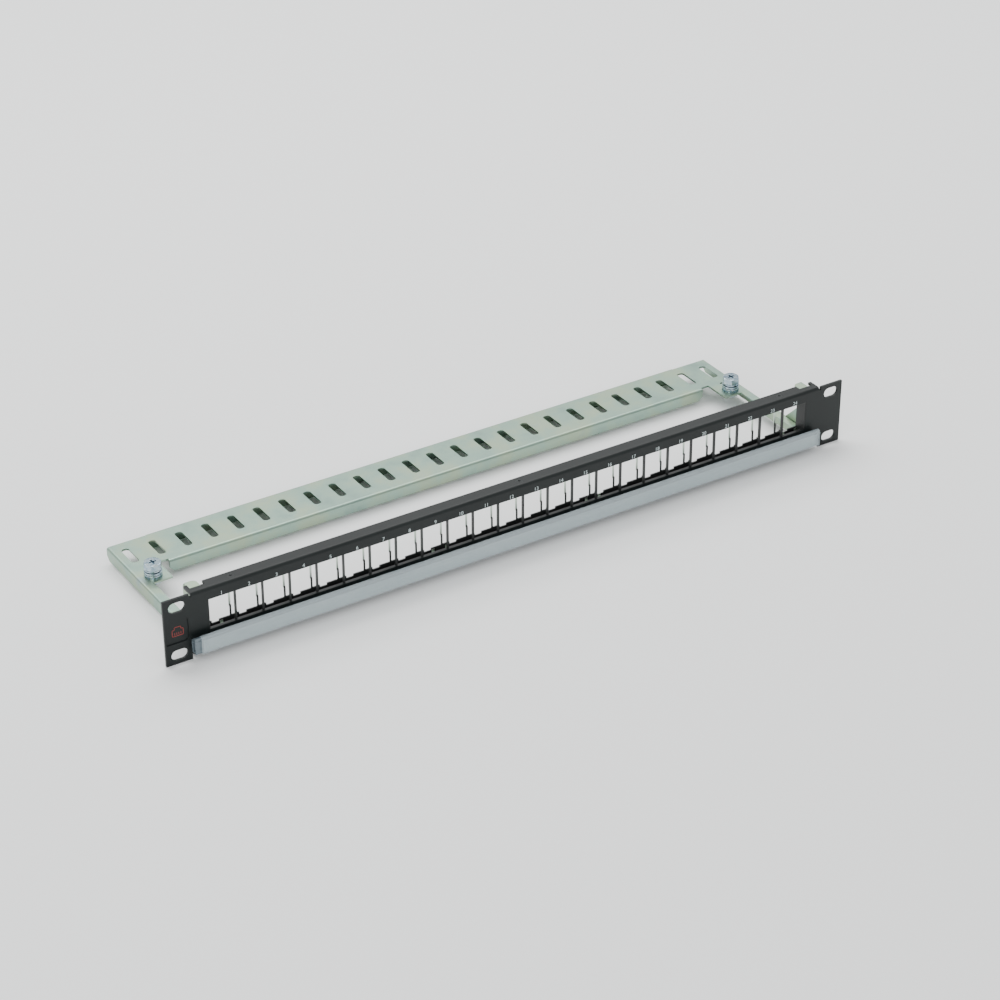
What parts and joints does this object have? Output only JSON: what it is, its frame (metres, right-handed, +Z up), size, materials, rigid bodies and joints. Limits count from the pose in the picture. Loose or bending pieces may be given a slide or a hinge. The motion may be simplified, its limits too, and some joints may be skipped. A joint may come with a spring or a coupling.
{
  "type": "patch panel",
  "caption": "Rack patch panel with a row of open jack bays, a rear cable tray with tie slots, earth bolts and a clear-covered label strip.",
  "frame": {"origin": "centre of the four ear slots, on the rear face of the ears, where the panel meets the rack's rails", "axes": "+X to the right seen from the front, +Y to the rear, +Z up"},
  "size_m": [0.4826, 0.1271, 0.0436],
  "materials": {
    "painted_black": "satin black powder coat",
    "black_plastic": "fine-textured black moulding",
    "zinc_sheet": "bright zinc plate, slightly green",
    "zinc_hardware": "bright blue zinc plate",
    "spring_steel": "tinned spring steel",
    "smoke_plastic": "smoky translucent extrusion",
    "clear_plastic": "clear polycarbonate",
    "grey_card": "matt pale grey card",
    "black_hardware": "black oxide"
  },
  "bodies": {
    "panel": {"front_panel": "painted_black", "jack_frame_left": "black_plastic", "jack_frame_middle": "black_plastic", "jack_frame_right": "black_plastic", "frame_clips": "spring_steel", "flange_screws": "black_hardware", "earth_comb": "spring_steel", "cable_tray": "zinc_sheet", "tray_studs": "zinc_hardware", "tray_nuts": "zinc_hardware", "label_rail": "smoke_plastic", "label_card": "grey_card", "clinch_nut_left": "zinc_hardware", "clinch_nut_right": "zinc_hardware"},
    "cover": {"label_cover": "clear_plastic"},
    "washers_left": {"spring_washer_left": "zinc_hardware", "plain_washers_left": "zinc_hardware", "contact_washer_left": "zinc_hardware"},
    "bolt_left": {"earth_bolt_left": "zinc_hardware"},
    "washers_right": {"spring_washer_right": "zinc_hardware", "plain_washers_right": "zinc_hardware", "contact_washer_right": "zinc_hardware"},
    "bolt_right": {"earth_bolt_right": "zinc_hardware"}
  },
  "joints": [
    {"name": "cover_hinge", "type": "hinge", "parent": "panel", "child": "cover", "pos_m": [0, -0.0059, -0.00683], "axis": [-1, 0, 0], "range_deg": [0, 90]},
    {"name": "earth_lift_left", "type": "slide", "parent": "panel", "child": "washers_left", "axis": [0, 0, 1], "range_m": [0, 0.003]},
    {"name": "earth_turn_left", "type": "hinge", "parent": "washers_left", "child": "bolt_left", "pos_m": [-0.211, 0.075, -0.01123], "axis": [0, 0, 1], "range_deg": [0, 1080]},
    {"name": "earth_lift_right", "type": "slide", "parent": "panel", "child": "washers_right", "axis": [0, 0, 1], "range_m": [0, 0.003]},
    {"name": "earth_turn_right", "type": "hinge", "parent": "washers_right", "child": "bolt_right", "pos_m": [0.211, 0.075, -0.01123], "axis": [0, 0, 1], "range_deg": [0, 1080]}
  ],
  "couplings": [
    {"joint": "earth_turn_left", "follows": "earth_lift_left", "rad_per_m": 6283.2},
    {"joint": "earth_turn_right", "follows": "earth_lift_right", "rad_per_m": 6283.2}
  ]
}
